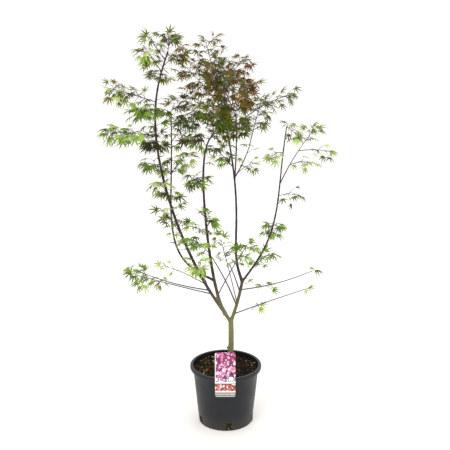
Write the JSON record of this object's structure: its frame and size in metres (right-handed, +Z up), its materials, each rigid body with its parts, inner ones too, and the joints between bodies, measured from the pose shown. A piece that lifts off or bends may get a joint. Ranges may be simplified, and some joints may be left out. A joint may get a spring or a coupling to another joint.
{
  "type": "potted japanese maple",
  "caption": "Young multi-stemmed japanese maple with lobed leaves in open sprays, growing in a round tapered nursery pot that stands on its flat base and carries a plant label on its rim.",
  "frame": {"origin": "centre of the pot's flat underside", "axes": "+Z up along the trunk, -Y towards the side that carries the label, +X to the right of the label"},
  "size_m": [0.9162, 0.6048, 1.5455],
  "materials": {
    "pot": "charcoal moulded plastic with a soft sheen",
    "soil": "dark potting mix with bark chips, loose and matte",
    "label": "thin printed plastic with a soft gloss",
    "bark": "smooth olive-green young bark",
    "limb_bark": "smooth purple-brown young bark",
    "foliage": "soft leaves, green with bronze and red autumn tints"
  },
  "bodies": {
    "root": {"pot": "pot", "soil": "soil", "label": "label", "trunk": "bark", "right_limb": "limb_bark", "left_limb": "limb_bark", "middle_limb": "limb_bark", "outer_limb": "limb_bark", "centre_limb": "limb_bark", "centre_front_limb": "limb_bark", "centre_back_limb": "limb_bark", "right_bough": "limb_bark", "right_outer_limb": "limb_bark", "top_left_spray": "foliage", "left_tip_spray": "foliage", "left_shoulder_spray": "foliage", "left_inner_spray": "foliage", "upper_arm_spray": "foliage", "left_face_spray": "foliage", "lower_arm_spray": "foliage", "left_front_spray": "foliage", "left_low_front_spray": "foliage", "left_low_spray": "foliage", "left_knee_spray": "foliage", "outer_top_spray": "foliage", "outer_inner_spray": "foliage", "outer_back_spray": "foliage", "outer_low_spray": "foliage", "middle_tip_spray": "foliage", "middle_top_spray": "foliage", "middle_left_spray": "foliage", "middle_low_spray": "foliage", "middle_right_spray": "foliage", "middle_foot_spray": "foliage", "upright_spray": "foliage", "low_side_spray": "foliage", "low_left_spray": "foliage", "low_left_back_spray": "foliage", "low_front_spray": "foliage", "inner_back_spray": "foliage", "low_right_spray": "foliage", "long_right_back_spray": "foliage", "long_right_front_spray": "foliage", "right_low_spray": "foliage", "right_middle_spray": "foliage", "fork_left_spray": "foliage", "crown_top_spray": "foliage", "crown_right_spray": "foliage", "crown_left_spray": "foliage", "crown_back_spray": "foliage", "crown_front_spray": "foliage", "crown_face_spray": "foliage", "fork_right_spray": "foliage", "arching_spray": "foliage", "back_right_spray": "foliage", "right_front_spray": "foliage", "right_tip_spray": "foliage", "right_outer_spray": "foliage", "right_edge_spray": "foliage", "right_hanging_spray": "foliage"}
  },
  "joints": []
}
